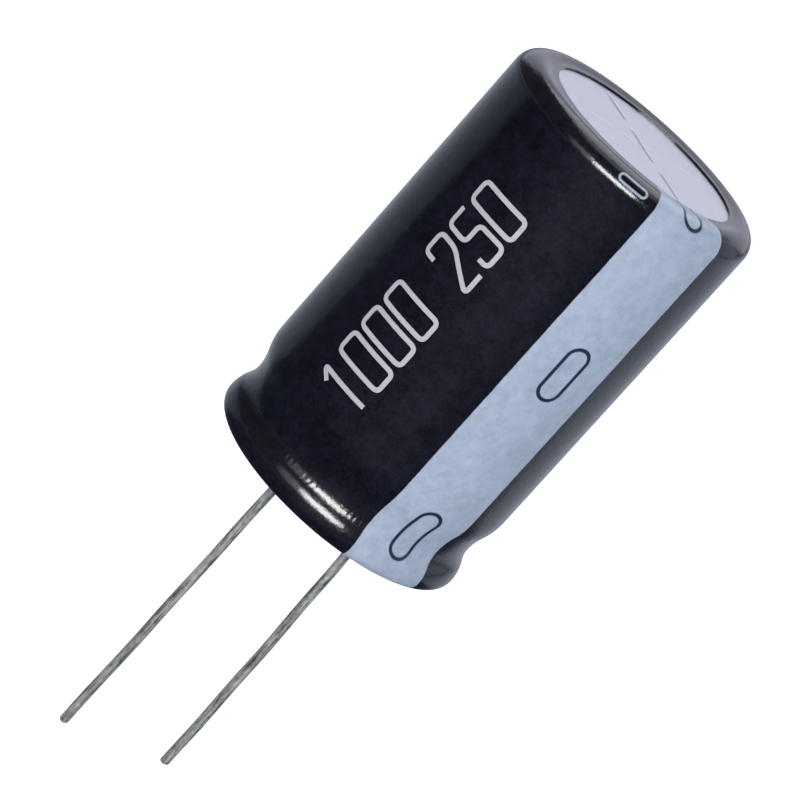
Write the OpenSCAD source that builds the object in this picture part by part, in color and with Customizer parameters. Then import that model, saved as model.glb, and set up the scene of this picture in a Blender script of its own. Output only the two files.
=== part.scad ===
// Radial-lead aluminium electrolytic capacitor in a shrunk sleeve, with its wound roll inside.
// Millimetres. The origin is the centre of the seating plane, where the body stands on a board.
// +Z runs up through the vented end, the leads point down -Z and lie on X:
// the negative lead is at +X, under the printed stripe, and the positive lead at -X.

/* [Body] */
// Length of the sleeved body, from the seating plane to the ring round the vent
body_l = 29.5; // [26:0.5:40]
// Diameter over the sleeve
body_d = 18.3; // [17.3:0.1:22]
// Radius of the rounded edge at the closed end
corner_r = 1.3; // [1.1:0.1:1.8]
// Wall and end of the drawn can
can_t = 0.4; // [0.3:0.05:0.5]

/* [Sleeve] */
// Thickness of the shrunk sleeve
sleeve_t = 0.15; // [0.1:0.01:0.25]
// Width of the film's flat edge on the end panel, round the bare window
window_lap = 0.2; // [0.1:0.05:1]
// Width of the film's flat edge under the body, inside the rim's lowest line
foot_lap = 0.55; // [0.2:0.05:1.2]

/* [Closed end] */
// Depth of the end panel below the ring round it
dish_h = 0.15; // [0.1:0.05:0.3]
// Width of the slope from the ring down to the panel
dish_w = 0.95; // [0.7:0.05:1.2]
// Width of the vent score lines
score_w = 0.2; // [0.1:0.05:0.4]
// Depth of the vent score lines
score_h = 0.15; // [0.05:0.05:0.25]
// Length of the two short lines that cross at the middle
score_cross_l = 3.6; // [2:0.2:5]
// Radius at which the outer score lines start
score_r0 = 3.0; // [2.6:0.1:3.6]
// Radius at which the outer score lines end
score_r1 = 5.8; // [4.5:0.1:6]
// Angle of the first score line from the lead line
score_turn = -17; // [-45:1:45]

/* [Groove and rim] */
// Height of the middle of the rolled groove above the seating plane
groove_z = 2.95; // [2.6:0.05:3.4]
// Depth of the rolled groove
groove_h = 0.55; // [0.4:0.05:0.8]
// Reach of the groove above its middle
groove_up = 3; // [2.4:0.1:3.6]
// Outer radius of the rim that is curled in under the body
curl_r = 0.8; // [0.75:0.05:1]
// How far the can's rim is curled round, in degrees
curl_turn = 150; // [130:5:160]

/* [End seal] */
// Height of the rubber seal's top above the seating plane
seal_top = 5.9; // [5:0.1:7]
// How far the seal's underside sits above the seating plane
seal_sink = 0.3; // [0.2:0.05:0.4]
// Thickness of the ledge that each terminal's shank stands on
ledge_h = 0.5; // [0.4:0.05:1.2]
// Clearance round the weld bead in the hole through the ledge
ledge_gap = 0.1; // [0.05:0.05:0.3]
// Slope width of the moulded mouth round that hole, under the seal
mouth_w = 0.5; // [0.2:0.05:0.8]
// Depth of the moulded mouth
mouth_h = 0.2; // [0.1:0.05:0.35]

/* [Leads] */
// Distance between the two leads
lead_pitch = 7.5; // [5:0.5:9]
// Diameter of the lead wire
lead_d = 0.64; // [0.5:0.01:0.9]
// Length of the positive lead below the seating plane
positive_l = 24.55; // [10:0.05:35]
// Length of the negative lead below the seating plane
negative_l = 20.2; // [8:0.05:30]
// Bevel round the cut end of a lead
tip_bevel = 0.08; // [0.02:0.01:0.15]
// Diameter of the weld bead under the shank
weld_d = 1.1; // [0.9:0.05:1.4]
// How far the weld bead's taper shows below the seal
weld_out = 0.25; // [0.2:0.01:0.28]

/* [Terminal tabs] */
// Diameter of the round shank in the seal
shank_d = 1.8; // [1.7:0.1:2.4]
// How far the round shank stands above the seal
shank_rise = 0.2; // [0.1:0.1:0.6]
// Height over which the shank is flattened into the blade
neck_h = 1; // [0.6:0.1:1.6]
// Width of the blade
blade_w = 2.4; // [1.6:0.1:2.8]
// Thickness of the blade
blade_t = 0.2; // [0.15:0.05:0.3]
// How far the blade ends below the foil's upper edge
blade_short = 2; // [1:0.5:6]

/* [Winding] */
// Diameter of the open core of the roll
core_d = 3; // [2:0.2:4]
// Thickness of the anode foil
anode_t = 0.11; // [0.08:0.01:0.16]
// Thickness of the cathode foil
cathode_t = 0.05; // [0.03:0.01:0.09]
// Thickness of one separator paper
paper_t = 0.06; // [0.04:0.01:0.09]
// Film of electrolyte between two layers
layer_gap = 0.01; // [0.005:0.005:0.02]
// Room left on each side of a blade in the roll
blade_gap = 0.02; // [0.01:0.01:0.05]
// How far the papers reach past the foils at each end
paper_margin = 0.8; // [0.4:0.1:1.5]
// Space between the papers and the can's end
roll_top_gap = 0.3; // [0.1:0.1:0.8]
// Space between the neck of a tab and the papers
roll_foot_gap = 0.1; // [0.05:0.05:0.4]
// Space round the roll inside the can
roll_side_gap = 0.15; // [0.1:0.05:0.4]
// Thickness of the fixing tape
tape_t = 0.06; // [0.04:0.01:0.1]
// Width of the fixing tape
tape_h = 9; // [5:0.5:14]

/* [Hidden] */
$fn = 96;
over = 1;
score_lines = 4;
arc_steps = 8;

// Skins of the body, as depths below the outside of the sleeve
can_skin = sleeve_t;
hollow_skin = sleeve_t + can_t;

// Rounded edge, dished panel and curled rim
body_r = body_d / 2;
ring_r = body_r - corner_r;
panel_r = ring_r - dish_w;
panel_z = body_l - dish_h;
window_r = panel_r - window_lap;
rim_x = body_r - curl_r;
rim_z = curl_r;
foot_r = rim_x - foot_lap;
dish_bend = bend_r(dish_w, dish_h);
dish_sweep = bend_sweep(dish_w, dish_h);

// Rolled groove, above and below its middle
groove_down = groove_z - rim_z;
upper_bend = bend_r(groove_up, groove_h);
upper_sweep = bend_sweep(groove_up, groove_h);
lower_bend = bend_r(groove_down, groove_h);
lower_sweep = bend_sweep(groove_down, groove_h);

// Seal and terminals
ledge_top = seal_sink + ledge_h;
ledge_bore_d = weld_d + 2 * ledge_gap;
weld_z = seal_sink - weld_out;
neck_z = seal_top + shank_rise;
blade_z = neck_z + neck_h;

// Roll: one wound layer is anode, paper, cathode, paper
roll_z0 = blade_z + roll_foot_gap;
roll_z1 = panel_z - hollow_skin - roll_top_gap;
foil_z0 = roll_z0 + paper_margin;
foil_z1 = roll_z1 - paper_margin;
blade_z1 = foil_z1 - blade_short;
inner_paper_at = anode_t + layer_gap;
cathode_at = inner_paper_at + paper_t + layer_gap;
outer_paper_at = cathode_at + cathode_t + layer_gap;
layer_pitch = outer_paper_at + paper_t + layer_gap;
blade_room = blade_t + 2 * blade_gap;
core_r = core_d / 2;
roll_r = body_r - hollow_skin - roll_side_gap;
turns = floor((roll_r - tape_t - blade_room - core_r) / layer_pitch + 1 / 4) - 1;
// Turn whose foil lies nearest the lead on each side
positive_turn = round((lead_pitch / 2 - core_r - anode_t - blade_t / 2) / layer_pitch - 1 / 4);
negative_turn = round((lead_pitch / 2 - core_r - cathode_at - cathode_t - blade_t / 2) / layer_pitch + 1 / 4);

// Two equal arcs that join two parallel lines, "along" apart on the lines and "across" apart between them
function bend_r(along, across) = (along * along + across * across) / (4 * across);
function bend_sweep(along, across) = asin(along / 2 / bend_r(along, across));

// Points of an arc; an arc whose hollow side faces out grows with the depth, the others shrink
function arc(x, z, r, a0, a1) =
    [for (i = [0:arc_steps]) let (a = a0 + (a1 - a0) * i / arc_steps) [x + r * cos(a), z + r * sin(a)]];

// Half section of the skin at a depth below the sleeve's outside, from the window to the curled rim
function dish_line(depth) = concat(
    arc(panel_r, panel_z + dish_bend, dish_bend + depth, 270, 270 + dish_sweep),
    arc(ring_r, body_l - dish_bend, dish_bend - depth, 90 + dish_sweep, 90));
function wall_line(depth) = concat(
    arc(ring_r, body_l - corner_r, corner_r - depth, 90, 0),
    groove_line(depth));
function groove_line(depth) = concat(
    arc(body_r - upper_bend, groove_z + groove_up, upper_bend - depth, 0, -upper_sweep),
    arc(body_r - groove_h + upper_bend, groove_z, upper_bend + depth, 180 - upper_sweep, 180),
    arc(body_r - groove_h + lower_bend, groove_z, lower_bend + depth, 180, 180 + lower_sweep),
    arc(body_r - lower_bend, rim_z, lower_bend - depth, lower_sweep, 0));
function rim_line(depth) = arc(rim_x, rim_z, curl_r - depth, 0, -90);
function curl_line(depth) = arc(rim_x, rim_z, curl_r - depth, -90, -curl_turn);

function reversed(list) = [for (i = [len(list) - 1:-1:0]) list[i]];

// Where the roll crosses the lead line: distance of turn n from the axis on each side.
// A blade pushes out every layer wound after it; "late" is 1 for the layers that it lies upon.
function negative_side(n, late) =
    core_r + (n - 1 / 4) * layer_pitch + (n >= negative_turn + late ? blade_room : 0);
function positive_side(n, late) =
    core_r + (n + 1 / 4) * layer_pitch + (n >= positive_turn + late ? blade_room : 0);

// Ring between a crossing at +X and one at -X, "from" outside the layer's inner face
module turn_ring(right, left, from, thickness) {
    radius = (right + left) / 2 + from;
    translate([(right - left) / 2, 0])
        difference() {
            circle(r = radius + thickness);
            circle(r = radius);
        }
}

// Half a turn of a strip, on the +Y or the -Y side
module half_turn(right, left, from, thickness, side) {
    intersection() {
        turn_ring(right, left, from, thickness);
        translate([-2 * body_r, side > 0 ? 0 : -2 * body_r]) square([4 * body_r, 2 * body_r]);
    }
}

// A strip wound from one turn to another: half rings that meet on the lead line
module wound_strip(from, thickness, late_positive, late_negative, first, last) {
    for (n = [first:last - 1]) {
        half_turn(negative_side(n, late_negative), positive_side(n, late_positive), from, thickness, 1);
        half_turn(negative_side(n + 1, late_negative), positive_side(n, late_positive), from, thickness, -1);
    }
}

module standing(z0, z1) {
    translate([0, 0, z0]) linear_extrude(z1 - z0) children();
}

// Shrunk film over the wall, the ring at the closed end and the curled rim
module sleeve() {
    color("#17181e") rotate_extrude()
        polygon(concat(
            [[window_r, panel_z - sleeve_t], [window_r, panel_z]],
            dish_line(0), wall_line(0), rim_line(0),
            [[foot_r, 0], [foot_r, sleeve_t]],
            reversed(rim_line(sleeve_t)), reversed(wall_line(sleeve_t)), reversed(dish_line(sleeve_t))));
}

// Drawn can with a scored end, a rolled groove and a curled rim
module can() {
    color("#c5c8d0") difference() {
        rotate_extrude()
            polygon(concat(
                [[0, panel_z - hollow_skin], [0, panel_z - can_skin]],
                dish_line(can_skin), wall_line(can_skin), rim_line(can_skin), curl_line(can_skin),
                reversed(curl_line(hollow_skin)), reversed(rim_line(hollow_skin)),
                reversed(wall_line(hollow_skin)), reversed(dish_line(hollow_skin))));
        vent_score();
    }
}

// Weakened lines of the vent: a cross at the middle and four dashes outside it
module vent_score() {
    translate([0, 0, panel_z - can_skin - score_h])
        for (i = [0:score_lines - 1])
            rotate(score_turn + i * 360 / score_lines) {
                translate([0, -score_w / 2, 0]) cube([score_cross_l / 2, score_w, over]);
                translate([score_r0, -score_w / 2, 0]) cube([score_r1 - score_r0, score_w, over]);
            }
}

// Rubber seal, squeezed by the groove, gripped by the curled rim and pierced by the two terminals
module end_seal() {
    color("#2b2b2d") difference() {
        intersection() {
            rotate_extrude() seal_section();
            cylinder(r = body_r, h = seal_top);
        }
        for (side = [-1, 1])
            translate([side * lead_pitch / 2, 0, 0]) {
                translate([0, 0, ledge_top]) cylinder(d = shank_d, h = seal_top);
                cylinder(d = ledge_bore_d, h = ledge_top + over / 2);
                translate([0, 0, seal_sink])
                    cylinder(d1 = ledge_bore_d + 2 * mouth_w, d2 = ledge_bore_d, h = mouth_h);
            }
    }
}

// Everything inside the can above the seal's underside, less the rim that bites into the rubber
module seal_section() {
    difference() {
        polygon(concat(
            [[0, body_l / 2], [0, seal_sink], [rim_x, seal_sink]],
            reversed(rim_line(hollow_skin)), reversed(groove_line(hollow_skin)),
            [[body_r - hollow_skin, body_l / 2]]));
        polygon(concat(
            [[rim_x, rim_z - curl_r + can_skin]], curl_line(can_skin), reversed(curl_line(hollow_skin))));
    }
}

// Tinned wire with a weld bead at its head and a bevelled cut end
module lead(length) {
    color("#9b9fa2") {
        translate([0, 0, -length]) cylinder(d1 = lead_d - 2 * tip_bevel, d2 = lead_d, h = tip_bevel);
        translate([0, 0, tip_bevel - length]) cylinder(d = lead_d, h = length - tip_bevel + weld_z);
        translate([0, 0, weld_z]) cylinder(d1 = lead_d, d2 = weld_d, h = ledge_top - weld_z);
    }
}

module positive_lead() {
    translate([-lead_pitch / 2, 0, 0]) lead(positive_l);
}

module negative_lead() {
    translate([lead_pitch / 2, 0, 0]) lead(negative_l);
}

// Aluminium terminal: a round shank, a neck flattened towards the blade, and a blade bent to its foil.
// It is drawn for the lead at -X when side is -1. "back" and "front" are the crossings, at +X and -X,
// of the two half turns that meet behind the blade; "at" is the depth of the foil's outer face there.
module tab(side, back, front, at) {
    lead_x = lead_pitch / 2;
    foil_r = (side > 0 ? back[0] : back[1]) + at;
    sag = foil_r - sqrt(foil_r * foil_r - blade_w * blade_w / 4);
    color("#d4d6da") {
        translate([side * lead_x, 0, ledge_top]) cylinder(d = shank_d, h = neck_z - ledge_top);
        intersection() {
            translate([side * lead_x, 0, neck_z]) cylinder(d1 = shank_d, d2 = blade_w, h = neck_h);
            rotate([90, 0, 0]) translate([0, 0, -blade_w])
                linear_extrude(2 * blade_w)
                    polygon([[side * (lead_x - shank_d / 2), neck_z], [side * (lead_x + shank_d / 2), neck_z],
                             [side * (foil_r + blade_t), blade_z], [side * (foil_r - sag), blade_z]]);
        }
        standing(blade_z - roll_foot_gap, blade_z1) {
            blade_half(side, back, at, 1);
            blade_half(side, front, at, -1);
        }
    }
}

// Half of the blade's curved section, on the +Y or the -Y side of the lead line
module blade_half(side, crossings, at, half) {
    intersection() {
        turn_ring(crossings[0], crossings[1], at, blade_t);
        translate([side < 0 ? -2 * body_r : 0, half > 0 ? 0 : -blade_w / 2]) square([2 * body_r, blade_w / 2]);
    }
}

// The positive blade lies on the outside of the anode foil
module positive_tab() {
    n = positive_turn;
    tab(-1, [negative_side(n, 1), positive_side(n, 1)], [negative_side(n + 1, 1), positive_side(n, 1)],
        anode_t);
}

// The negative blade lies on the outside of the cathode foil
module negative_tab() {
    n = negative_turn;
    tab(1, [negative_side(n, 1), positive_side(n, 0)], [negative_side(n, 1), positive_side(n - 1, 0)],
        cathode_at + cathode_t);
}

// The papers start and end one turn beyond the foils, so that the foils never touch
module anode_foil() {
    color("#8b8d90") standing(foil_z0, foil_z1) wound_strip(0, anode_t, 1, 1, 1, turns - 1);
}

module cathode_foil() {
    color("#b9bcc2") standing(foil_z0, foil_z1) wound_strip(cathode_at, cathode_t, 0, 1, 1, turns - 1);
}

module inner_separator() {
    color("#d9c9a3") standing(roll_z0, roll_z1) wound_strip(inner_paper_at, paper_t, 0, 1, 0, turns);
}

module outer_separator() {
    color("#cdbb92") standing(roll_z0, roll_z1) wound_strip(outer_paper_at, paper_t, 0, 0, 0, turns);
}

// One turn of tape round the middle of the finished roll
module fixing_tape() {
    middle = (roll_z0 + roll_z1) / 2;
    color("#d8c27a") standing(middle - tape_h / 2, middle + tape_h / 2)
        wound_strip(0, tape_t, 0, 0, turns, turns + 1);
}

sleeve();
can();
end_seal();
positive_lead();
negative_lead();
positive_tab();
negative_tab();
anode_foil();
cathode_foil();
inner_separator();
outer_separator();
fixing_tape();
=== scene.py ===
"""Looks of a radial-lead electrolytic capacitor, built round its CAD frame.

The film, the can, the two leads and the printed numbers are new surfaces worked out with numpy.
The seal, the terminals and the wound roll are the CAD's own solids, each with a finish.
Sizes in this file are millimetres and angles are degrees, unless a name says otherwise.
"""
import logging
import math
from dataclasses import dataclass
from enum import Enum

import bpy
import numpy as np
from mathutils import Matrix, Vector


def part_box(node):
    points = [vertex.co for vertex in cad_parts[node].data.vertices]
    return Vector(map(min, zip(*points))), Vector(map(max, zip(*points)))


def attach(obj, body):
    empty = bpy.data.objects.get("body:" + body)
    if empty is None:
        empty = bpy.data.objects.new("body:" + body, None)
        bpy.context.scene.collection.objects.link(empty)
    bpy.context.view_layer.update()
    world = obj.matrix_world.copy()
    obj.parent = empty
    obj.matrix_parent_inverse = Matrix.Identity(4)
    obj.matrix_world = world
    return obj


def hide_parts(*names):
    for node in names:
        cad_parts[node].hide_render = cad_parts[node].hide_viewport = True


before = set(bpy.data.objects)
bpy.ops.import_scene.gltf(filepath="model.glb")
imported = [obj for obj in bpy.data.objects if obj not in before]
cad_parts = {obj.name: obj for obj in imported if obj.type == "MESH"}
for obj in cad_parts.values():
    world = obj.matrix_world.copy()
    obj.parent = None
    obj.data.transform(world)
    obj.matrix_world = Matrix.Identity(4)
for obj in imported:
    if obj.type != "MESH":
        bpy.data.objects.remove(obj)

log = logging.getLogger("capacitor")

MM = 0.001
NOISE_GAIN = 2.0
# Places of the colour sockets among the Mix node's inputs and outputs.
MIX_IN, MIX_OUT = 6, 2
Triple = tuple[float, float, float]
Colour = Triple
Waves = tuple[Triple, ...]


def box_mm(node: str) -> tuple[np.ndarray, np.ndarray]:
    """A CAD node's lowest and highest corner in millimetres."""
    low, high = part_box(node)
    return np.array(low) / MM, np.array(high) / MM


class Value:
    """A shader socket that takes part in sums: each operator adds the Math node that does it."""

    def __init__(self, nodes: "Nodes", socket: bpy.types.NodeSocket) -> None:
        """Keeps the socket and the nodes that it belongs to."""
        self.nodes = nodes
        self.socket = socket

    def math(self, operation: str, *others: "Value | float") -> "Value":
        """The result of a Math node of that operation, with this value first."""
        return self.nodes.math(operation, self, *others)

    def __add__(self, other: "Value | float") -> "Value":
        """Sum."""
        return self.math("ADD", other)

    __radd__ = __add__

    def __sub__(self, other: "Value | float") -> "Value":
        """Difference."""
        return self.math("SUBTRACT", other)

    def __rsub__(self, other: float) -> "Value":
        """Difference with the number first."""
        return self.nodes.math("SUBTRACT", other, self)

    def __mul__(self, other: "Value | float") -> "Value":
        """Product."""
        return self.math("MULTIPLY", other)

    __rmul__ = __mul__

    def __truediv__(self, other: "Value | float") -> "Value":
        """Quotient."""
        return self.math("DIVIDE", other)

    def __abs__(self) -> "Value":
        """Size without sign."""
        return self.math("ABSOLUTE")

    def at_least(self, other: "Value | float") -> "Value":
        """The larger of the two."""
        return self.math("MAXIMUM", other)

    def inside(self, blur: float) -> "Value":
        """A mask that is 1 where the value is above 0, with an edge as wide as blur."""
        return (self / blur + 0.5).at_least(0.0).math("MINIMUM", 1.0)


class Nodes:
    """A node tree and the ways to add to it."""

    def __init__(self, tree: bpy.types.NodeTree) -> None:
        """Keeps the tree and empties it."""
        self.tree = tree
        tree.nodes.clear()

    def node(self, kind: str, settings: dict | None = None, sockets: dict | None = None) -> bpy.types.Node:
        """Adds a node of any type.

        Args:
            kind: Blender's name of the node type.
            settings: Properties of the node, which are set first.
            sockets: Values or links of its inputs, by name or number.

        Returns:
            The node.
        """
        made = self.tree.nodes.new(kind)
        for key, setting in (settings or {}).items():
            setattr(made, key, setting)
        for key, value in (sockets or {}).items():
            if isinstance(value, Value):
                self.tree.links.new(value.socket, made.inputs[key])
            else:
                made.inputs[key].default_value = value
        return made

    def value(self, node: bpy.types.Node, output: int | str = 0) -> Value:
        """One output of a node as a value."""
        return Value(self, node.outputs[output])

    def math(self, operation: str, *values: Value | float) -> Value:
        """The result of a Math node."""
        return self.value(self.node("ShaderNodeMath", {"operation": operation}, dict(enumerate(values))))

    def mix(self, mask: Value, low: Value | Colour, high: Value | Colour) -> Value:
        """A blend of two colours, the first where the mask is 0 and the second where it is 1."""
        ends = {MIX_IN + n: end if isinstance(end, Value) else (*end, 1.0)
                for n, end in enumerate((low, high))}
        return self.value(self.node("ShaderNodeMix", {"data_type": "RGBA"}, {0: mask, **ends}), MIX_OUT)


class Shading(Nodes):
    """One material's nodes, with a Principled shader and what feeds it."""

    def __init__(self, name: str) -> None:
        """Makes a material that holds only its output and its shader.

        Args:
            name: Name of the material.
        """
        self.material = bpy.data.materials.new(name)
        self.material.use_nodes = True
        super().__init__(self.material.node_tree)
        self.shader = self.node("ShaderNodeBsdfPrincipled")
        self.node("ShaderNodeOutputMaterial", None, {0: self.value(self.shader)})

    def place(self, stretch: Triple = (1.0, 1.0, 1.0)) -> Value:
        """Object coordinates in millimetres, multiplied by a factor along each axis."""
        sockets = {0: self.value(self.node("ShaderNodeTexCoord"), "Object"), "Scale": Vector(stretch) / MM}
        return self.value(self.node("ShaderNodeMapping", None, sockets))

    def axes(self) -> tuple[Value, Value, Value]:
        """X, Y and Z of the place in millimetres."""
        split = self.node("ShaderNodeSeparateXYZ", None, {0: self.place()})
        return self.value(split, 0), self.value(split, 1), self.value(split, 2)

    def noise(self, spot: Value, scale: float, detail: float = 3.0, roughness: float = 0.55) -> Value:
        """Noise, mostly between -0.25 and 0.25, with "scale" features to the millimetre."""
        sockets = {"Vector": spot, "Scale": scale, "Detail": detail, "Roughness": roughness}
        return self.value(self.node("ShaderNodeTexNoise", None, sockets)) - 0.5

    def attribute(self, name: str) -> Value:
        """A number that the mesh carries at its points."""
        return self.value(self.node("ShaderNodeAttribute", {"attribute_name": name}), "Fac")

    def shade(self, colour: Value | Colour, factor: Value) -> Value:
        """A colour made lighter or darker by a factor that varies."""
        return self.value(self.node("ShaderNodeVectorMath", {"operation": "SCALE"},
                                    {0: colour, "Scale": factor}))

    def bump(self, height: Value, unit: float) -> Value:
        """A normal bent by a height, whose unit is given in millimetres."""
        return self.value(self.node("ShaderNodeBump", None, {"Height": height, "Distance": unit * MM}))

    def set(self, **sockets: Value | float | Colour) -> None:
        """Sets or links the shader's own sockets.

        Args:
            sockets: A value, number or colour for each socket, with underscores in its name for spaces.
        """
        for key, value in sockets.items():
            socket = self.shader.inputs[key.replace("_", " ")]
            if isinstance(value, Value):
                self.tree.links.new(value.socket, socket)
            else:
                socket.default_value = (*value, 1.0) if isinstance(value, tuple) else value


def weighted(noises: list[Value], depths: Triple, start: Value | float) -> Value:
    """The start plus the sum of each noise times its depth."""
    return sum((noise * depth for noise, depth in zip(noises, depths)), start)


def arc(x: float, z: float, radius: float, start: float, end: float, steps: int = 14) -> np.ndarray:
    """Points of an arc: the centre plus the radius times cosine and sine of evenly spread angles.

    Args:
        x: Centre's distance from the axis.
        z: Centre's height.
        radius: Radius of the arc.
        start: First angle.
        end: Last angle.
        steps: Number of stretches.

    Returns:
        The points, one to a row.
    """
    turn = np.radians(np.linspace(start, end, steps + 1))
    return np.stack([x + radius * np.cos(turn), z + radius * np.sin(turn)], axis=1)


def spaced(line: np.ndarray, step: float) -> np.ndarray:
    """The same line with more points: each stretch longer than the step is divided evenly.

    Args:
        line: Points, one to a row.
        step: Longest stretch that stays whole.

    Returns:
        The points with those added, and without any that lies on the one before it.
    """
    pieces = []
    for start, end in zip(line[:-1], line[1:]):
        reach = np.linalg.norm(end - start)
        share = np.linspace(0.0, 1.0, max(1, math.ceil(reach / step)), endpoint=False)[:, None]
        pieces.append(start + (end - start) * share if reach > 1e-6 else line[:0])
    return np.concatenate([*pieces, line[-1:]])


def run_length(line: np.ndarray) -> np.ndarray:
    """Distance along a line at each of its points: the running sum of its stretches."""
    return np.concatenate([[0.0], np.cumsum(np.linalg.norm(np.diff(line, axis=0), axis=1))])


def smooth(share: np.ndarray) -> np.ndarray:
    """Soft step from 0 to 1: three times the square less twice the cube of the share, held in range."""
    held = np.clip(share, 0.0, 1.0)
    return held * held * (3.0 - 2.0 * held)


def ripple(azimuth: np.ndarray, waves: Waves) -> np.ndarray:
    """A wave round the axis: the sum of each size times the sine of turns times azimuth plus start."""
    return sum(size * np.sin(turns * azimuth + start) for size, turns, start in waves)


def revolved(line: np.ndarray, azimuth: np.ndarray) -> np.ndarray:
    """Surface of revolution: each radius and height of a half section, turned to each azimuth in radians."""
    radius, height = line[:, :1], line[:, 1:]
    return np.stack([radius * np.cos(azimuth), radius * np.sin(azimuth), height + 0.0 * azimuth], axis=-1)


class Skin:
    """Points and faces of one piece, gathered patch by patch and made into a mesh object."""

    def __init__(self, name: str) -> None:
        """Starts an empty skin.

        Args:
            name: Name of the piece.
        """
        self.name = name
        self.patches: list[np.ndarray] = []
        self.faces: list[list[int]] = []
        self.count = 0

    def add(self, points: np.ndarray) -> np.ndarray:
        """Adds points in any grid shape.

        Args:
            points: The grid, with the axes last.

        Returns:
            The numbers of the points, in the grid's shape.
        """
        self.patches.append(points.reshape(-1, 3))
        first, self.count = self.count, self.count + points.size // 3
        return np.arange(first, self.count).reshape(points.shape[:-1])

    def weave(self, numbers: np.ndarray, round_rows: bool = False, round_columns: bool = False) -> None:
        """Quads over a grid of point numbers.

        Args:
            numbers: The grid, rows by columns.
            round_rows: The last row joins the first.
            round_columns: The last column joins the first.
        """
        grid = np.concatenate([numbers, numbers[:1]]) if round_rows else numbers
        grid = np.concatenate([grid, grid[:, :1]], axis=1) if round_columns else grid
        quads = np.stack([grid[:-1, :-1], grid[1:, :-1], grid[1:, 1:], grid[:-1, 1:]], axis=-1)
        self.faces += quads.reshape(-1, 4).tolist()

    def close(self, ring: np.ndarray, centre: np.ndarray) -> None:
        """Triangles from a grid's last ring, or its first one reversed, to a new point at its centre."""
        tip = int(self.add(centre.reshape(1, 3))[0])
        self.faces += np.stack([ring, np.full_like(ring, tip), np.roll(ring, -1)], axis=-1).tolist()

    def volume(self, points: np.ndarray) -> float:
        """Volume with sign: a sixth of the sum of the triple products of each face's corners.

        Args:
            points: All points of the skin.

        Returns:
            The volume, which is below 0 where the faces point in.
        """
        number = np.array([face if len(face) == 4 else [*face, face[0]] for face in self.faces])
        a, b, c, d = (points[number[:, n]] for n in range(4))
        return float(np.einsum("ij,ij->i", a, np.cross(b, c) + np.cross(c, d)).sum() / 6.0)

    def build(self, crease: float = 35.0, marks: dict[str, np.ndarray] | None = None) -> bpy.types.Object:
        """Makes the object, with its faces pointing out.

        Args:
            crease: Angle above which an edge stays sharp.
            marks: Numbers for each point, by the name of the attribute that keeps them.

        Returns:
            The object, at the origin.
        """
        points = np.concatenate(self.patches)
        if self.volume(points) < 0:
            self.faces = [face[::-1] for face in self.faces]
        mesh = bpy.data.meshes.new(self.name)
        mesh.from_pydata((points * MM).tolist(), [], self.faces)
        mesh.update()
        mesh.shade_smooth()
        mesh.set_sharp_from_angle(angle=math.radians(crease))
        for name, numbers in (marks or {}).items():
            mesh.attributes.new(name, "FLOAT", "POINT").data.foreach_set("value", numbers.astype(np.float32))
        piece = bpy.data.objects.new(self.name, mesh)
        bpy.context.scene.collection.objects.link(piece)
        return piece


def dress_piece(piece: bpy.types.Object, material: bpy.types.Material, slot: str | None, *nodes: str) -> None:
    """Finishes a new piece, ties it to the body and reports it.

    Args:
        piece: The new piece.
        material: Its finish.
        slot: None for a piece of the studio, which is left loose; any other value ties the piece to the body.
        nodes: CAD nodes that the piece replaces.
    """
    piece.data.materials.append(material)
    if slot is None:
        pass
    else:
        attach(piece, "root")
    if nodes:
        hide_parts(*nodes)
    log.info("%s: %d points, finish %s", piece.name, len(piece.data.vertices), material.name)


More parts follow.
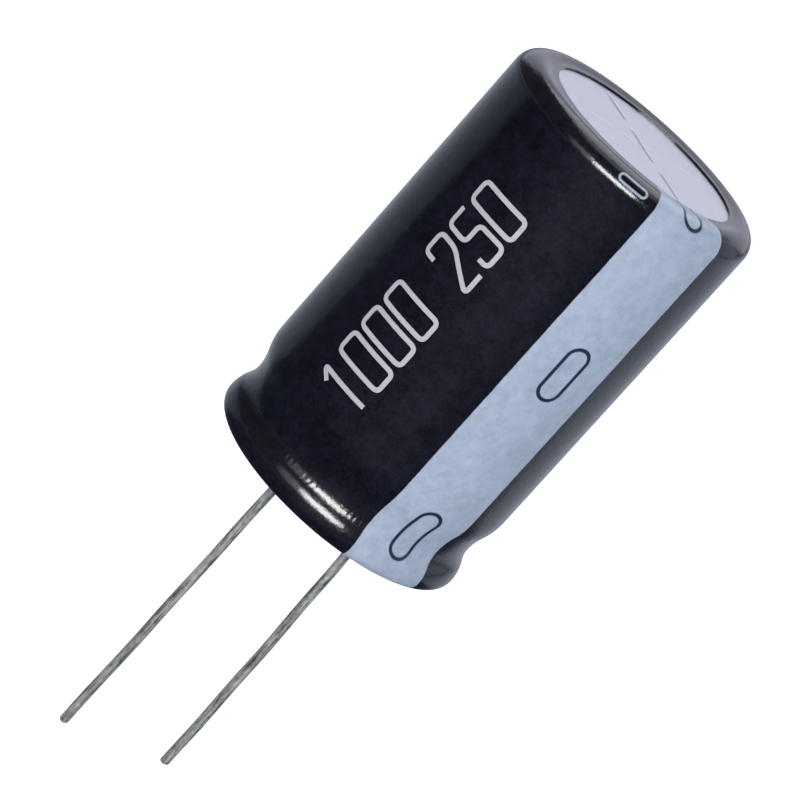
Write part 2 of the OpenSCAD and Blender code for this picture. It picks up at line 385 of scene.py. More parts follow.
@dataclass(frozen=True)
class BodySection:
    """Half section of the body: radius and height of each skin, at a depth below the film's outside."""

    length: float
    radius: float
    corner_r: float = 1.3
    dish_w: float = 0.95
    dish_h: float = 0.1
    window_lap: float = 0.2
    foot_lap: float = 0.55
    groove_z: float = 2.95
    groove_h: float = 0.55
    groove_up: float = 3.0
    curl_r: float = 0.8
    curl_turn: float = 150.0
    film_t: float = 0.15
    can_t: float = 0.4
    dish_steps: int = 6
    corner_steps: int = 20
    curl_steps: int = 10

    @classmethod
    def from_frame(cls) -> "BodySection":
        """The section whose length and radius are the CAD sleeve's."""
        high = box_mm("sleeve")[1]
        return cls(length=float(high[2]), radius=float(high[0]))

    @property
    def ring_r(self) -> float:
        """Radius of the ring round the end panel."""
        return self.radius - self.corner_r

    @property
    def panel_r(self) -> float:
        """Radius of the end panel."""
        return self.ring_r - self.dish_w

    @property
    def panel_z(self) -> float:
        """Height of the film's edge on the end panel."""
        return self.length - self.dish_h

    @property
    def window_r(self) -> float:
        """Radius of the bare window."""
        return self.panel_r - self.window_lap

    @property
    def rim_x(self) -> float:
        """Radius of the rim's lowest line."""
        return self.radius - self.curl_r

    @property
    def foot_r(self) -> float:
        """Radius at which the film ends under the body."""
        return self.rim_x - self.foot_lap

    @staticmethod
    def bend(along: float, across: float) -> tuple[float, float]:
        """Radius and sweep of two equal arcs that join two parallel lines."""
        radius = (along * along + across * across) / (4.0 * across)
        return radius, math.degrees(math.asin(along / 2.0 / radius))

    def dish_line(self, depth: float) -> np.ndarray:
        """The slope from the end panel up to the top of the ring, as two arcs that meet halfway."""
        bend, sweep = self.bend(self.dish_w, self.dish_h)
        return np.concatenate([
            arc(self.panel_r, self.panel_z + bend, bend + depth, 270, 270 + sweep, self.dish_steps),
            arc(self.ring_r, self.length - bend, bend - depth, 90 + sweep, 90, self.dish_steps)])

    def corner_line(self, depth: float) -> np.ndarray:
        """The rounded edge, from the top of the ring to the wall: a quarter of a circle."""
        return arc(self.ring_r, self.length - self.corner_r, self.corner_r - depth, 90, 0, self.corner_steps)

    def groove_line(self, depth: float) -> np.ndarray:
        """The rolled groove, from the wall to the rim's widest line, as two arcs above and two below.

        Args:
            depth: Depth of the skin below the film's outside.

        Returns:
            Radius and height, one point to a row.
        """
        upper, upper_sweep = self.bend(self.groove_up, self.groove_h)
        lower, lower_sweep = self.bend(self.groove_z - self.curl_r, self.groove_h)
        return np.concatenate([
            arc(self.radius - upper, self.groove_z + self.groove_up, upper - depth, 0, -upper_sweep),
            arc(self.radius - self.groove_h + upper, self.groove_z, upper + depth, 180 - upper_sweep, 180),
            arc(self.radius - self.groove_h + lower, self.groove_z, lower + depth, 180, 180 + lower_sweep),
            arc(self.radius - lower, self.curl_r, lower - depth, lower_sweep, 0)])

    def rim_line(self, depth: float) -> np.ndarray:
        """The rim, from its widest to its lowest line: a quarter of a circle."""
        return arc(self.rim_x, self.curl_r, self.curl_r - depth, 0, -90)

    def curl_line(self, depth: float) -> np.ndarray:
        """The curl, from the rim's lowest line to the can's edge in the rubber: more of that circle."""
        return arc(self.rim_x, self.curl_r, self.curl_r - depth, -90, -self.curl_turn, self.curl_steps)

    def skin_line(self, depth: float) -> np.ndarray:
        """The skin from the end panel to the rim's lowest line."""
        lines = (self.dish_line, self.corner_line, self.groove_line, self.rim_line)
        return np.concatenate([line(depth) for line in lines])


@dataclass(frozen=True)
class FilmFinish:
    """Glossy black film with a pale stripe, outlined minus marks and one pale mark at the edge."""

    black: Colour = (0.0036, 0.0038, 0.0080)
    pale: Colour = (0.312, 0.377, 0.487)
    edge_ink: Colour = (0.30, 0.37, 0.46)
    navy: Colour = (0.008, 0.018, 0.045)
    ior: float = 1.6
    stripe_centre: float = -17.3
    stripe_w: float = 5.85
    mark_z: float = 3.55
    mark_pitch: float = 13.7
    mark_l: float = 4.2
    mark_w: float = 1.8
    line_w: float = 0.25
    edge_mark_azimuth: float = -47.4
    edge_mark_along: float = 29.05
    edge_mark_l: float = 2.2
    edge_mark_w: float = 0.66
    edge_line_w: float = 0.15
    crinkle_along: float = 2.35
    crinkle_turns: float = 140.0
    crinkle_half: float = 0.1
    crinkle_blur: float = 0.8
    crinkle_waver: float = 5.0
    crinkle_h: float = 0.35
    print_blur: float = 0.06
    print_waver: float = 0.05
    cloud_noise: Triple = (0.4, 6.0, 0.7)
    peel_noise: Triple = (1.6, 3.0, 0.55)
    grain_noise: Triple = (6.0, 3.0, 0.7)
    ink_depths: Triple = (0.5, 0.35, 0.15)
    black_depths: Triple = (3.0, 1.5, 4.5)
    black_least: float = 0.2
    bump_depths: Triple = (1.2, 0.5, 0.12)
    bump_unit: float = 0.02
    roughness: float = 0.175
    print_roughness: float = 0.17
    cloud_roughness: float = 0.08
    grain_roughness: float = 0.05

    def material(self, radius: float) -> bpy.types.Material:
        """The film's material, which reads the film's attribute "along".

        The stripe is where the distance round the body from its middle is under half its width.
        Round the groove the film is crinkled: a fine sine wave of the angle, held to a narrow band.

        Args:
            radius: Radius of the body, which turns an angle into a distance.

        Returns:
            The material.
        """
        film = Shading("sleeve_film")
        x, y, _ = film.axes()
        along, around = film.attribute("along"), y.math("ARCTAN2", x)
        spot = film.place()
        noises = [film.noise(spot, *kind) for kind in (self.cloud_noise, self.peel_noise, self.grain_noise)]
        cloud, peel, grain = noises
        aside = (around - math.radians(self.stripe_centre)) * radius
        stripe = (self.stripe_w / 2 + peel * self.print_waver - abs(aside)).inside(self.print_blur)
        turns = (along - self.mark_z) / self.mark_pitch
        up = (turns - (turns + 0.5).math("FLOOR")) * self.mark_pitch
        minus = self.pill(up, aside, self.mark_l, self.mark_w, self.line_w)
        edge_mark = self.pill(
            (around - math.radians(self.edge_mark_azimuth)) * radius, along - self.edge_mark_along,
            self.edge_mark_l, self.edge_mark_w, self.edge_line_w)
        ink = film.shade(self.pale, weighted(noises, self.ink_depths, 1.0))
        black = film.shade(self.black, weighted(noises, self.black_depths, 1.0).at_least(self.black_least))
        printed = film.mix(stripe * minus, film.mix(stripe, black, ink), self.navy)
        crinkle = ((around * self.crinkle_turns + cloud * self.crinkle_waver).math("SINE")
                   * (self.crinkle_half - abs(along - self.crinkle_along)).inside(self.crinkle_blur))
        height = weighted(noises, self.bump_depths, crinkle * self.crinkle_h)
        roughness = (self.roughness + stripe * self.print_roughness + cloud * self.cloud_roughness
                     + grain * self.grain_roughness)
        film.set(Base_Color=film.mix(edge_mark, printed, self.edge_ink), IOR=self.ior, Roughness=roughness,
                 Normal=film.bump(height, self.bump_unit))
        return film.material

    def pill(self, ahead: Value, aside: Value, length: float, width: float, line_w: float) -> Value:
        """Mask of a pill's outline.

        The distance from the pill's middle line is taken, and the outline is where that distance
        lies within half a line's width of the middle of the line.

        Args:
            ahead: Distance from the pill's middle along it.
            aside: Distance from the pill's middle across it.
            length: Length over the outline.
            width: Width over the outline.
            line_w: Width of the line.

        Returns:
            1 on the line and 0 elsewhere.
        """
        beyond = (abs(ahead) - (length - width) / 2).at_least(0.0)
        distance = (aside * aside + beyond * beyond).math("SQRT")
        return (line_w / 2 - abs(distance - (width - line_w) / 2)).inside(self.print_blur)


@dataclass(frozen=True)
class MetalFinish:
    """Metal whose tone and roughness vary in clouds and in streaks drawn along Z, with painted shade in score
    lines where the mesh marks them.
    """

    name: str
    colour: Colour
    roughness: float
    metallic: float = 1.0
    grain: float = 2.0
    grain_depth: float = 0.1
    grain_detail: tuple[float, float] = (4.0, 0.6)
    grain_h: float = 0.5
    grain_roughness: float = 0.2
    streaks: float = 0.0
    streak_depth: float = 0.0
    streak_l: float = 0.05
    streak_detail: tuple[float, float] = (4.0, 0.65)
    bump_unit: float = 0.004
    score_shade_depth: float = 0.0
    score_roughness: float = 0.2
    least_tone: float = 0.12

    def material(self) -> bpy.types.Material:
        """The metal's material: its colour times 1 plus each noise times its depth.

        Returns:
            The material.
        """
        metal = Shading(self.name)
        cloud = metal.noise(metal.place(), self.grain, *self.grain_detail)
        height, roughness = cloud * self.grain_h, self.roughness + cloud * self.grain_roughness
        tone = 1.0 + cloud * self.grain_depth * NOISE_GAIN
        if self.streaks:
            drawn = metal.noise(metal.place((1.0, 1.0, self.streak_l)), self.streaks, *self.streak_detail)
            height, tone = height + drawn, tone + drawn * self.streak_depth * NOISE_GAIN
        # Painted shade: the colour is darkened along the score lines by the mesh's "score" attribute, and the
        # roughness rises there too.
        if self.score_shade_depth:
            score = metal.attribute("score")
            tone = tone * (1.0 - score * self.score_shade_depth)
            roughness = roughness + score * self.score_roughness
        metal.set(Base_Color=metal.shade(self.colour, tone.at_least(self.least_tone)),
                  Metallic=self.metallic, Roughness=roughness, Normal=metal.bump(height, self.bump_unit))
        return metal.material


@dataclass(frozen=True)
class PlainFinish:
    """Rubber, paper, tape or ink: a colour with clouds and grain, dull or glossy."""

    name: str
    colour: Colour
    roughness: float
    cloud: float = 0.6
    cloud_depth: float = 0.12
    cloud_h: float = 0.5
    grain: float = 8.0
    grain_depth: float = 0.12
    grain_detail: tuple[float, float] = (4.0, 0.65)
    grain_roughness: float = 0.15
    stretch: Triple = (1.0, 1.0, 1.0)
    bump_unit: float = 0.01

    def material(self) -> bpy.types.Material:
        """The material: its colour times 1 plus each noise times its depth.

        Returns:
            The material.
        """
        plain = Shading(self.name)
        cloud = plain.noise(plain.place(), self.cloud)
        grain = plain.noise(plain.place(self.stretch), self.grain, *self.grain_detail)
        tone = 1.0 + (cloud * self.cloud_depth + grain * self.grain_depth) * NOISE_GAIN
        plain.set(Base_Color=plain.shade(self.colour, tone),
                  Roughness=self.roughness + grain * self.grain_roughness,
                  Normal=plain.bump(cloud * self.cloud_h + grain, self.bump_unit))
        return plain.material


@dataclass
class FilmSleeve:
    """The shrunk film: its outer skin, its two cut edges and the inner skin against the can."""

    section: BodySection
    finish: FilmFinish = FilmFinish()
    columns: int = 336
    step: float = 0.35
    inner_step: float = 9.0
    inset: float = 0.01
    edge_r: float = 0.05
    edge_steps: int = 4
    window_waves: Waves = (
        (0.1, 1, 0.96), (0.03, 2, 0.6), (0.018, 5, 2.0), (0.012, 11, 0.3), (0.008, 23, 1.1))
    foot_waves: Waves = ((0.05, 3, 1.4), (0.03, 7, 0.2), (0.015, 16, 2.2))
    pleats: Waves = ((0.001, 31, 0.0), (0.002, 9, 1.0), (0.001, 19, 2.0))
    pleat_l: float = 0.3
    pleat_dip: float = 0.008

    def outer_line(self) -> np.ndarray:
        """Half section of the outer skin, from the window's edge to the edge under the body."""
        s, edge, skin = self.section, self.edge_r, self.inset
        return spaced(np.concatenate([
            [[s.window_r, s.panel_z - s.film_t]],
            arc(s.window_r + edge, s.panel_z - skin - edge, edge, 180, 90, self.edge_steps),
            s.skin_line(skin),
            arc(s.foot_r + edge, skin + edge, edge, 270, 180, self.edge_steps),
            [[s.foot_r, s.film_t]]]), self.step)

    def inner_line(self) -> np.ndarray:
        """Half section of the inner skin, from under the body back to the window."""
        return spaced(self.section.skin_line(self.section.film_t), self.inner_step)[::-1]

    def shaped(self, line: np.ndarray, azimuth: np.ndarray) -> np.ndarray:
        """The outer skin with the small waves that shrinking leaves.

        The radius gains a wave that is whole at each cut edge and fades out where the film bends
        round the can. The slope at the end dips in fine pleats, never above the plain skin.

        Args:
            line: Half section of the skin.
            azimuth: Angles in radians.

        Returns:
            Points as an array of rows, azimuths and axes.
        """
        s = self.section
        points = revolved(line, azimuth)
        radius, height = line[:, :1], line[:, 1:]
        at_window = smooth((s.panel_r - radius) / s.window_lap) * (height > s.length / 2)
        at_foot = smooth((s.rim_x - radius) / s.foot_lap) * (height < s.curl_r)
        on_slope = smooth((s.ring_r - radius) / self.pleat_l) * (height > s.length / 2)
        swell = at_window * ripple(azimuth, self.window_waves) + at_foot * ripple(azimuth, self.foot_waves)
        points[..., 0] += swell * np.cos(azimuth)
        points[..., 1] += swell * np.sin(azimuth)
        points[..., 2] += on_slope * (ripple(azimuth, self.pleats) - self.pleat_dip) * (1.0 - at_window)
        return points

    def build(self) -> bpy.types.Object:
        """The film as one closed skin that carries the distance along it, which is Z on the straight wall.

        Returns:
            The film.
        """
        azimuth = np.linspace(0.0, 2.0 * math.pi, self.columns, endpoint=False)
        outer, inner = self.outer_line(), self.inner_line()
        skin = Skin("film_sleeve")
        grid = np.concatenate([skin.add(self.shaped(outer, azimuth)), skin.add(revolved(inner, azimuth))])
        skin.weave(grid, round_rows=True, round_columns=True)
        length = run_length(outer)
        middle = int(np.argmin(np.abs(outer[:, 1] - self.section.length / 2)))
        along = np.concatenate([outer[middle, 1] + length[middle] - length, inner[:, 1]])
        return skin.build(marks={"along": np.repeat(along, self.columns)})


@dataclass
class DrawnCan:
    """The can: an end panel with coined vent lines, painted shade in the clear one, a wall under the film and
    a curled rim.
    """

    section: BodySection
    finish: MetalFinish = MetalFinish("can_aluminium", (0.605, 0.62, 0.65), 0.36, grain=1.4,
                                      grain_depth=0.09, score_shade_depth=0.46)
    score_turn: float = -17.0
    score_w: float = 0.38
    score_h: float = 0.085
    lip_h: float = 0.006
    cross_l: float = 3.5
    dash_r: tuple[float, float] = (3.0, 5.8)
    end_l: float = 0.15
    bell_share: float = 0.45
    lip_place: float = 0.95
    lip_share: float = 0.4
    worn_share: float = 0.35
    score_shade_gain: float = 1.6
    fine: float = 0.03
    fine_reach: float = 0.6
    coarse_steps: int = 22
    coarsening: float = 1.4
    wall_step: float = 2.0
    sag: float = 0.03
    sag_waves: tuple[tuple[float, float], ...] = ((0.9, 0.7), (0.75, -0.4))

    def spread(self) -> np.ndarray:
        """Grid lines across the panel, close together near the score lines.

        Returns:
            Rising shares of the panel's radius from -1 to 1.
        """
        near = np.arange(0.0, self.fine_reach, self.fine)
        share = np.linspace(0, 1, self.coarse_steps) ** self.coarsening
        far = self.fine_reach + (self.section.panel_r - self.fine_reach) * share
        half = np.concatenate([near, far]) / self.section.panel_r
        return np.concatenate([-half[:0:-1], half])

    def cut(self, along: np.ndarray, aside: np.ndarray) -> np.ndarray:
        """How deep one score line is, from -1 on its raised lips to 1 at its middle.

        Across the line the depth falls off as a bell curve of the distance aside, with a low bell
        on each side for the lip. Along the line it is there from the middle to half the cross, and
        again over the outer dash, with soft ends.

        Args:
            along: Distance along the line from the middle of the panel.
            aside: Distance from the line.

        Returns:
            The share of the score's depth.
        """
        far, across = np.abs(along), np.abs(aside) / self.score_w
        cross, start, end = (smooth(ahead / self.end_l + 0.5) for ahead in (
            self.cross_l / 2 - far, far - self.dash_r[0], self.dash_r[1] - far))
        bell = np.exp(-((across / self.bell_share) ** 2))
        lip = np.exp(-(((across - self.lip_place) / self.lip_share) ** 2))
        return np.maximum(cross, start * end) * (bell - lip * self.lip_h / self.score_h)

    def panel(self) -> tuple[np.ndarray, np.ndarray]:
        """The end panel as a grid that ends on a circle, crossed by a clear and a worn score line.

        A square grid is bowed out to a disc: each coordinate is the radius times its own share and
        the root of 1 less half the square of the other share. The height is the panel's, less a
        shallow uneven sag towards the middle and the depth of the score lines.

        Returns:
            The points as rows, columns and axes, and the clear line's painted shade mask at each.
        """
        s = self.section
        a, b = np.meshgrid(self.spread(), self.spread(), indexing="ij")
        x = s.panel_r * a * np.sqrt(1.0 - b * b / 2.0)
        y = s.panel_r * b * np.sqrt(1.0 - a * a / 2.0)
        inward = np.maximum(1.0 - (x * x + y * y) / s.panel_r ** 2, 0.0)
        (turns_x, start_x), (turns_y, start_y) = self.sag_waves
        uneven = 0.5 + 0.5 * np.sin(turns_x * x + start_x) * np.cos(turns_y * y + start_y)
        clear, worn = self.cut(x, y), self.cut(y, x) * self.worn_share
        score = np.where(np.abs(clear) > np.abs(worn), clear, worn)
        height = s.panel_z - s.film_t - self.sag * inward * uneven - self.score_h * score
        turn = math.radians(self.score_turn)
        points = np.stack([x * math.cos(turn) - y * math.sin(turn),
                           x * math.sin(turn) + y * math.cos(turn), height], axis=-1)
        # Painted shade: the clear line's depth, strengthened and held to 1, darkens the can's colour.
        return points, np.clip(clear * self.score_shade_gain, 0.0, 1.0)

    def build(self) -> bpy.types.Object:
        """The can as one closed skin: the panel, the outer skin to the curl, and the inner skin back.

        Returns:
            The can.
        """
        s = self.section
        skin = Skin("drawn_can")
        points, score = self.panel()
        grid = skin.add(points)
        skin.weave(grid)
        border = np.concatenate([grid[-1, :-1], grid[:0:-1, -1], grid[0, :0:-1], grid[:-1, 0]])
        edge = points.reshape(-1, 3)[border]
        azimuth = np.arctan2(edge[:, 1], edge[:, 0])
        outside, inside = (np.concatenate([s.skin_line(depth), s.curl_line(depth)])
                           for depth in (s.film_t, s.film_t + s.can_t))
        line = spaced(np.concatenate([outside, inside[::-1]]), self.wall_step)[1:]
        rings = np.concatenate([border[None, :], skin.add(revolved(line, azimuth))])
        skin.weave(rings, round_columns=True)
        skin.close(rings[-1], np.array([0.0, 0.0, line[-1, 1]]))
        # The "score" attribute is painted shade along the clear score line, and 0 elsewhere.
        marks = np.concatenate([score.ravel(), np.zeros(skin.count - score.size)])
        return skin.build(crease=50.0, marks={"score": marks})


class CutEnd(Enum):
    """How a lead's tip was cut: the round of its edge and the rise of its slant."""

    SHEARED = (0.20, 0.12)
    PRESSED = (0.24, 0.06)


@dataclass
class Lead:
    """One tinned wire, from its weld bead under the terminal down to its cut tip."""

    node: str
    end: CutEnd
    root: float
    lean: float
    bow: float
    wire_r: float = 0.32
    bead_r: float = 0.55
    bead_z: float = 0.05
    root_l: float = 2.5
    bead_h: float = 0.05
    bead_share: float = 0.6
    tip_l: float = 0.8
    tip_steps: int = 6
    waver: float = 0.02
    waver_turns: tuple[float, float] = (19.0, 0.31)
    sides: int = 32
    step: float = 0.2

    def line(self, top: float, tip: float) -> np.ndarray:
        """Radius and height down the wire: bead, wire and rounded tip.

        Args:
            top: Height of the bead's top.
            tip: Height of the tip.

        Returns:
            One point to a row.
        """
        round_r = self.end.value[0]
        tip_arc = arc(self.wire_r - round_r, tip + round_r, round_r, 0, -90, self.tip_steps)
        head = [[self.bead_r * self.bead_share, top], [self.bead_r, top - self.bead_h],
                [self.wire_r, self.bead_z]]
        return spaced(np.concatenate([head, tip_arc]), self.step)

    def aside(self, height: np.ndarray, tip: float) -> np.ndarray:
        """How far the wire's middle has moved along X at a height.

        It is the sum of a soft step below the seal, a straight lean, a bow as half a sine wave, and
        a slight waviness from handling.

        Args:
            height: Heights along the wire.
            tip: Height of the tip.

        Returns:
            The shift at each height.
        """
        share = np.clip((self.bead_z - height) / (self.bead_z - tip), 0.0, 1.0)
        step = smooth((self.bead_z - height) / self.root_l)
        return (self.root * step + self.lean * share + self.bow * np.sin(math.pi * share)
                + self.waver * np.sin(self.waver_turns[0] * share + tip) * step)

    def build(self) -> bpy.types.Object:
        """The wire as a closed skin: rings round a line that leans, with a tip cut at a slant.

        Returns:
            The wire.
        """
        low, high = box_mm(self.node)
        tip = float(low[2])
        line = self.line(float(high[2]), tip)
        height = line[:, 1:]
        points = revolved(line, np.linspace(0.0, 2.0 * math.pi, self.sides, endpoint=False))
        near_tip = smooth((tip + self.tip_l - height) / self.tip_l)
        points[..., 2] += self.end.value[1] * near_tip * (points[..., 0] / self.wire_r + 1.0) / 2.0
        points[..., 0] += float(low[0] + high[0]) / 2 + self.aside(height, tip)
        wave = np.sin(self.waver_turns[1] * height + tip)
        points[..., 1] += self.waver * wave * smooth(-height / self.root_l)
        skin = Skin("wire_" + self.node)
        rings = skin.add(points)
        skin.weave(rings, round_columns=True)
        skin.close(rings[0, ::-1], points[0].mean(axis=0))
        skin.close(rings[-1], points[-1].mean(axis=0))
        return skin.build(crease=60.0)


class Digit(Enum):
    """Strokes of the printed numbers, as corners in shares of a digit's width and height."""

    ZERO = ((0.5, 0.0), (0.0, 0.0), (0.0, 1.0), (1.0, 1.0), (1.0, 0.0), (0.5, 0.0))
    ONE = ((0.15, 0.78), (0.55, 1.0), (0.55, 0.0))
    TWO = ((0.0, 0.76), (0.0, 1.0), (1.0, 1.0), (1.0, 0.62), (0.0, 0.0), (1.0, 0.0))
    FIVE = ((0.95, 1.0), (0.05, 1.0), (0.05, 0.56), (1.0, 0.56), (1.0, 0.0), (0.0, 0.0), (0.0, 0.2))


@dataclass
class PrintedNumbers:
    """Plain numbers printed along the film, each stroke a thin ribbon of ink bent round the body."""

    section: BodySection
    azimuth: float = -79.5
    start_z: float = 7.2
    height: float = 3.8
    width: float = 1.5
    pitch: float = 2.1
    gap: float = 2.4
    stroke: float = 0.31
    bend_r: float = 0.42
    bend_share: float = 0.48
    bend_points: int = 7
    ink_t: float = 0.02
    sink: float = 0.001
    step: float = 0.12
    groups: tuple[tuple[Digit, ...], ...] = (
        (Digit.ONE, Digit.ZERO, Digit.ZERO, Digit.ZERO), (Digit.TWO, Digit.FIVE, Digit.ZERO))
    ink: PlainFinish = PlainFinish(
        "print_ink", (0.40, 0.397, 0.42), 0.42, grain_depth=0.06, cloud_depth=0.06)

    def rounded(self, stroke: np.ndarray) -> np.ndarray:
        """A stroke's middle line with its corners cut by a curve.

        Each inner corner becomes a curve of second degree between the points one bend radius away
        on both sides, or just under half the stretch where that is shorter.

        Args:
            stroke: Corners of the stroke.

        Returns:
            Points of the line, close together.
        """
        share = np.linspace(0.0, 1.0, self.bend_points)[:, None]
        line = [stroke[:1]]
        for before, here, after in zip(stroke[:-2], stroke[1:-1], stroke[2:]):
            ends = []
            for other in (before, after):
                reach = np.linalg.norm(other - here)
                ends.append(here + (other - here) * min(self.bend_r, reach * self.bend_share) / reach)
            line.append((1 - share) ** 2 * ends[0] + 2 * share * (1 - share) * here + share ** 2 * ends[1])
        return spaced(np.concatenate([*line, stroke[-1:]]), self.step)

    def ribbon(self, middle: np.ndarray, closed: bool) -> np.ndarray:
        """The ribbon of one stroke, laid on the body.

        Its section is a rectangle as wide as the stroke, square to the middle line. The distance
        along the text is the height, the distance up a digit over the radius is the angle, and the
        ink's thickness goes along the radius.

        Args:
            middle: The stroke's middle line, along the text and up the digit.
            closed: Whether the line ends where it starts.

        Returns:
            Points as an array of places along the stroke, corners and axes.
        """
        ahead = np.gradient(middle, axis=0)
        if closed:
            ahead[0] = ahead[-1] = middle[1] - middle[-2]
        ahead /= np.linalg.norm(ahead, axis=1, keepdims=True)
        aside = np.stack([-ahead[:, 1], ahead[:, 0]], axis=1) * self.stroke / 2
        top = self.section.radius - self.sink
        corner_lines = []
        for side, radius in ((-1, top - self.ink_t), (-1, top), (1, top), (1, top - self.ink_t)):
            flat = middle + side * aside
            angle = math.radians(self.azimuth) - (flat[:, 1] - self.height / 2) / self.section.radius
            places = [radius * np.cos(angle), radius * np.sin(angle), flat[:, 0]]
            corner_lines.append(np.stack(places, axis=1))
        return np.stack(corner_lines, axis=1)

    def build(self) -> bpy.types.Object:
        """All strokes as one piece.

        Returns:
            The printed numbers.
        """
        skin = Skin("printed_numbers")
        at = self.start_z
        for group in self.groups:
            for digit in group:
                stroke = np.array(digit.value) * [self.width, self.height] + [at, 0.0]
                closed = digit.value[0] == digit.value[-1]
                grid = skin.add(self.ribbon(self.rounded(stroke), closed)[:-1 if closed else None])
                skin.weave(grid, round_rows=closed, round_columns=True)
                if not closed:
                    skin.faces += [grid[0].tolist(), grid[-1][::-1].tolist()]
                at += self.pitch
            at += self.gap + self.width - self.pitch
        return skin.build()


@dataclass(frozen=True)
class InnerParts:
    """The seal, the terminals and the wound roll, which stay the CAD's own solids."""

    finishes: tuple[tuple[PlainFinish | MetalFinish, tuple[str, ...]], ...] = (
        (PlainFinish("seal_rubber", (0.022, 0.022, 0.024), 0.72, grain_depth=0.3), ("end_seal",)),
        (MetalFinish("tab_aluminium", (0.78, 0.79, 0.81), 0.28, streaks=6.0, streak_depth=0.06),
         ("positive_tab", "negative_tab")),
        (MetalFinish("anode_foil", (0.33, 0.34, 0.35), 0.62, grain=14.0, grain_depth=0.2), ("anode_foil",)),
        (MetalFinish("cathode_foil", (0.58, 0.59, 0.61), 0.5, grain=10.0, grain_depth=0.12),
         ("cathode_foil",)),
        (PlainFinish("separator_paper", (0.56, 0.45, 0.28), 0.7, stretch=(1.0, 1.0, 0.25)),
         ("inner_separator", "outer_separator")),
        (PlainFinish("roll_tape", (0.60, 0.46, 0.16), 0.3, grain_depth=0.05, bump_unit=0.003),
         ("fixing_tape",)))

    def dress(self) -> None:
        """Gives each CAD node inside the can its finish and reports it.

        The material is set on the object's own slots, so the CAD's mesh stays as it is.
        """
        for finish, names in self.finishes:
            material = finish.material()
            for name in names:
                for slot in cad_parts[name].material_slots:
                    slot.link, slot.material = "OBJECT", material
                log.info("%s: CAD solid, finish %s", name, material.name)


@dataclass(frozen=True)
class PhotoView:
    """The photograph's camera, by its angles to the body's axis and the body's place in the picture."""

    facing: float = -55.0
    rise: float = 16.73
    tilt: float = 48.29
    distance: float = 265.0
    body_right: float = 5.28
    body_up: float = 4.91
    body_middle: float = 14.715
    lens: float = 195.56
    clip_near: float = 10.0
    clip_far: float = 20000.0

    def turn(self) -> Matrix:
        """The camera's turn.

        Returns:
            A matrix whose rows are the object's axes in the camera's right, up and back.
        """
        rise, tilt, facing = (math.radians(angle) for angle in (self.rise, self.tilt, self.facing))
        axis = Vector((math.cos(rise) * math.cos(tilt), math.cos(rise) * math.sin(tilt), math.sin(rise)))
        near = Vector((-math.sin(rise) * math.cos(tilt), -math.sin(rise) * math.sin(tilt), math.cos(rise)))
        right = Vector((math.sin(tilt), -math.cos(tilt), 0.0))
        x = near * math.cos(facing) - right * math.sin(facing)
        return Matrix((x, axis.cross(x), axis))

    def build(self) -> None:
        """Makes the camera and hands it to the scene.

        It stands where the middle of the body comes out right of and above the picture's middle.
        """
        turn = self.turn()
        middle = Vector((0.0, 0.0, self.body_middle))
        place = middle - turn @ Vector((self.body_right, self.body_up, -self.distance))
        camera = bpy.data.objects.new("photo_camera", bpy.data.cameras.new("photo_camera"))
        camera.data.lens = self.lens
        camera.data.clip_start, camera.data.clip_end = self.clip_near * MM, self.clip_far * MM
        camera.matrix_world = Matrix.Translation(place * MM) @ turn.to_4x4()
        bpy.context.scene.collection.objects.link(camera)
        bpy.context.scene.camera = camera


@dataclass(frozen=True)
class Softbox:
    """A rectangular lamp that faces the capacitor, placed by its direction and distance."""

    name: str
    azimuth: float
    elevation: float
    distance: float
    width: float
    height: float
    radiance: float
    tint: Colour = (1.0, 1.0, 1.0)

    def build(self, aim: Vector) -> None:
        """Makes the lamp, whose power is its radiance times its area times pi.

        Args:
            aim: The point that it faces.
        """
        azimuth, elevation = math.radians(self.azimuth), math.radians(self.elevation)
        out = Vector((math.cos(azimuth) * math.cos(elevation), math.sin(azimuth) * math.cos(elevation),
                      math.sin(elevation)))
        lamp = bpy.data.lights.new(self.name, "AREA")
        lamp.shape, lamp.color = "RECTANGLE", self.tint
        lamp.size, lamp.size_y = self.width * MM, self.height * MM
        lamp.energy = self.radiance * self.width * self.height * MM * MM * math.pi
        box = bpy.data.objects.new(self.name, lamp)
        box.location = (aim + out * self.distance) * MM
        box.rotation_mode = "QUATERNION"
        box.rotation_quaternion = out.to_track_quat("Z", "Y")
        bpy.context.scene.collection.objects.link(box)


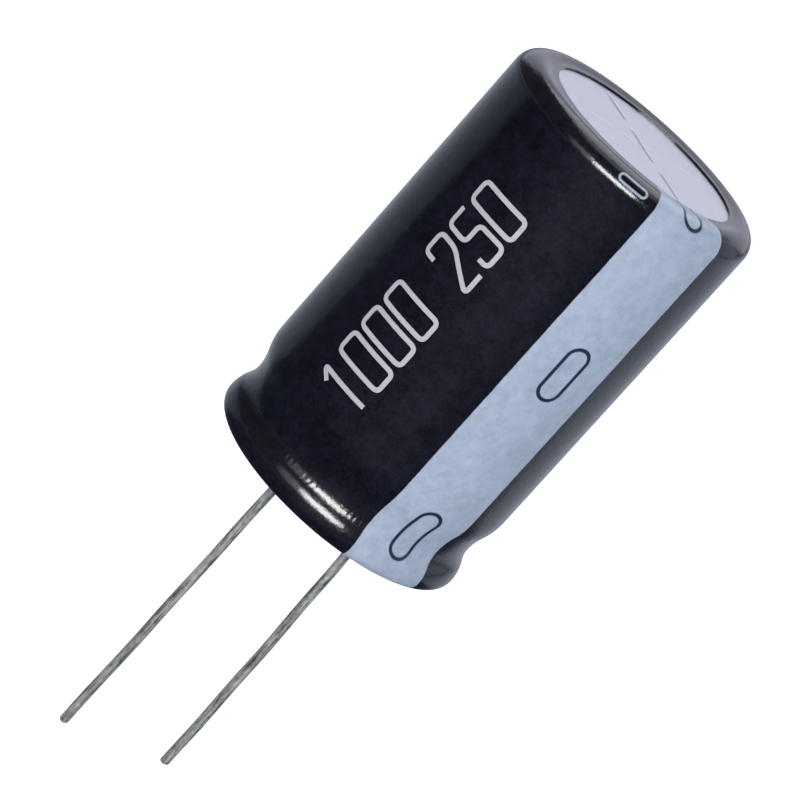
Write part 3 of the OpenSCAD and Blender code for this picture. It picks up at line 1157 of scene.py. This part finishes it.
@dataclass(frozen=True)
class Studio:
    """A white floor under the lead tips, a grey room, the softboxes and a dark card in front."""

    floor_r: float = 3000.0
    floor_t: float = 10.0
    floor_gap: float = 0.02
    floor_sides: int = 96
    card_gap: float = 0.2
    floor_colour: Colour = (0.88, 0.88, 0.88)
    seen_glow: Colour = (0.62, 0.62, 0.62)
    mirrored_glow: Colour = (0.30, 0.38, 0.50)
    room: float = 0.08
    seen_room: Colour = (1.0, 1.0, 1.0)
    lamp_aim: Triple = (0.0, 0.0, 10.0)
    card_azimuth: float = -55.0
    card_half: float = 900.0
    card_colour: Colour = (0.03, 0.04, 0.07)
    paper_roughness: float = 0.9
    paper_grain: float = 0.5
    paper_grain_depth: float = 0.1
    paper_gloss: float = 0.1
    card_back: float = -53.0
    card_blur: float = 45.0
    scrim: float = 0.36
    scrim_slope: float = 0.47
    scrim_least: float = 0.5
    lamps: tuple[Softbox, ...] = (
        Softbox("front_softbox", -66.0, 19.0, 450.0, 520.0, 170.0, 1.1),
        Softbox("front_strip", -53.0, 19.0, 445.0, 305.0, 102.0, 17.4),
        Softbox("right_softbox", 55.0, 22.0, 500.0, 560.0, 380.0, 0.5, (0.86, 0.95, 1.18)),
        Softbox("back_softbox", 125.0, 20.0, 500.0, 700.0, 300.0, 0.68, (0.93, 0.945, 1.17)),
        Softbox("top_softbox", 125.0, 62.0, 500.0, 420.0, 400.0, 2.2, (0.95, 1.0, 1.03)),
        Softbox("overhead_softbox", -55.0, 84.0, 500.0, 420.0, 190.0, 0.9, (0.94, 0.965, 1.08)),
    )

    def floor(self, height: float) -> bpy.types.Object:
        """A wide thin disc.

        Args:
            height: Height of its top.

        Returns:
            The floor.
        """
        azimuth = np.linspace(0.0, 2.0 * math.pi, self.floor_sides, endpoint=False)
        skin = Skin("floor")
        edge = np.array([[self.floor_r, height - self.floor_t], [self.floor_r, height]])
        rings = skin.add(revolved(edge, azimuth))
        skin.weave(rings, round_columns=True)
        skin.close(rings[1], np.array([0.0, 0.0, height]))
        skin.close(rings[0, ::-1], np.array([0.0, 0.0, height - self.floor_t]))
        return skin.build()

    def floor_paper(self) -> bpy.types.Material:
        """White paper that comes out white where the camera, glossy things or clear things see it.

        Returns:
            The material, which glows only for those rays and so lights nothing.
        """
        paper = Shading("floor_paper")
        path = paper.node("ShaderNodeLightPath")
        rays = ("Is Camera Ray", "Is Glossy Ray", "Is Transmission Ray")
        seen, glossy, clear = (paper.value(path, ray) for ray in rays)
        grain = paper.noise(paper.place(), self.paper_grain) * self.paper_grain_depth
        mirrored = paper.mix(glossy + clear, (0.0, 0.0, 0.0), self.mirrored_glow)
        paper.set(Base_Color=self.floor_colour, Roughness=self.paper_roughness + grain,
                  Specular_IOR_Level=self.paper_gloss,
                  Emission_Color=paper.mix(seen, mirrored, self.seen_glow), Emission_Strength=1.0)
        return paper.material

    def card(self, height: float) -> bpy.types.Object:
        """A card that lies on the floor and shows only in reflections, as a photographer's black flag.

        Args:
            height: Height of the card.

        Returns:
            The card, a square sheet.
        """
        ends = np.array([-self.card_half, self.card_half])
        x, y = np.meshgrid(ends, ends, indexing="ij")
        skin = Skin("dark_card")
        skin.weave(skin.add(np.stack([x, y, np.full_like(x, height)], axis=-1)))
        piece = skin.build()
        for ray in ("camera", "diffuse", "shadow", "transmission"):
            setattr(piece, "visible_" + ray, False)
        return piece

    def card_paper(self) -> bpy.types.Material:
        """Dark paper in front of the object and a scrim behind it, thinner towards the right.

        The paper is whole where the place lies ahead of its back edge, with a soft edge. Behind
        that its cover falls with the direction's turn to the right, which is the distance to the
        right over the distance from the middle.

        Returns:
            The material.
        """
        card = Shading("dark_card")
        x, y, _ = card.axes()
        turn = math.radians(self.card_azimuth)
        ahead = x * math.cos(turn) + y * math.sin(turn)
        right = y * math.cos(turn) - x * math.sin(turn)
        front = (ahead - self.card_back).inside(self.card_blur)
        turned = right / (x * x + y * y).math("SQRT")
        behind = (self.scrim - turned * self.scrim_slope).at_least(self.scrim_least)
        card.set(Base_Color=self.card_colour, Roughness=self.paper_roughness,
                 Alpha=front.at_least(behind))
        return card.material

    def build_room(self) -> None:
        """Makes the world.

        It lights as a dim grey room, and the camera sees it as white.
        """
        world = bpy.data.worlds.new("room")
        world.use_nodes = True
        room = Nodes(world.node_tree)
        seen = room.value(room.node("ShaderNodeLightPath"), "Is Camera Ray")
        glow = room.mix(seen, (self.room,) * 3, self.seen_room)
        light = room.node("ShaderNodeBackground", None, {"Color": glow})
        room.node("ShaderNodeOutputWorld", None, {0: room.value(light)})
        bpy.context.scene.world = world

    def build(self) -> None:
        """Makes the floor, the card, the room's light and the lamps.

        The floor lies just under the tip of the longer lead, and the card just over the floor.
        """
        ground = float(box_mm("positive_lead")[0][2]) - self.floor_gap
        dress_piece(self.floor(ground), self.floor_paper(), None)
        dress_piece(self.card(ground + self.card_gap), self.card_paper(), None)
        self.build_room()
        for lamp in self.lamps:
            lamp.build(Vector(self.lamp_aim))
            log.info("%s: radiance %.2f", lamp.name, lamp.radiance)


def main() -> None:
    """Builds the camera, the pieces and the studio in order.

    The body's section is read from the CAD's box before any piece is added.
    """
    logging.basicConfig(level=logging.INFO, format="%(name)s: %(message)s")
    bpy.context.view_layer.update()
    bpy.context.scene.view_settings.view_transform = "Standard"
    PhotoView().build()
    section = BodySection.from_frame()
    film, can, numbers = FilmSleeve(section), DrawnCan(section), PrintedNumbers(section)
    dress_piece(film.build(), film.finish.material(section.radius), "sleeve_film", "sleeve")
    dress_piece(can.build(), can.finish.material(), "can_aluminium", "can")
    dress_piece(numbers.build(), numbers.ink.material(), "sleeve_film")
    wire = MetalFinish("tinned_wire", (0.36, 0.372, 0.372), 0.45, metallic=0.5, grain=3.5, grain_depth=0.9,
                       streaks=5.0, streak_depth=2.2, streak_l=0.10, bump_unit=0.02).material()
    for lead in (Lead("positive_lead", CutEnd.PRESSED, root=0.33, lean=-0.40, bow=0.0),
                 Lead("negative_lead", CutEnd.SHEARED, root=0.12, lean=0.30, bow=0.06)):
        dress_piece(lead.build(), wire, "tinned_wire", lead.node)
    InnerParts().dress()
    Studio().build()


if __name__ == "__main__":
    main()
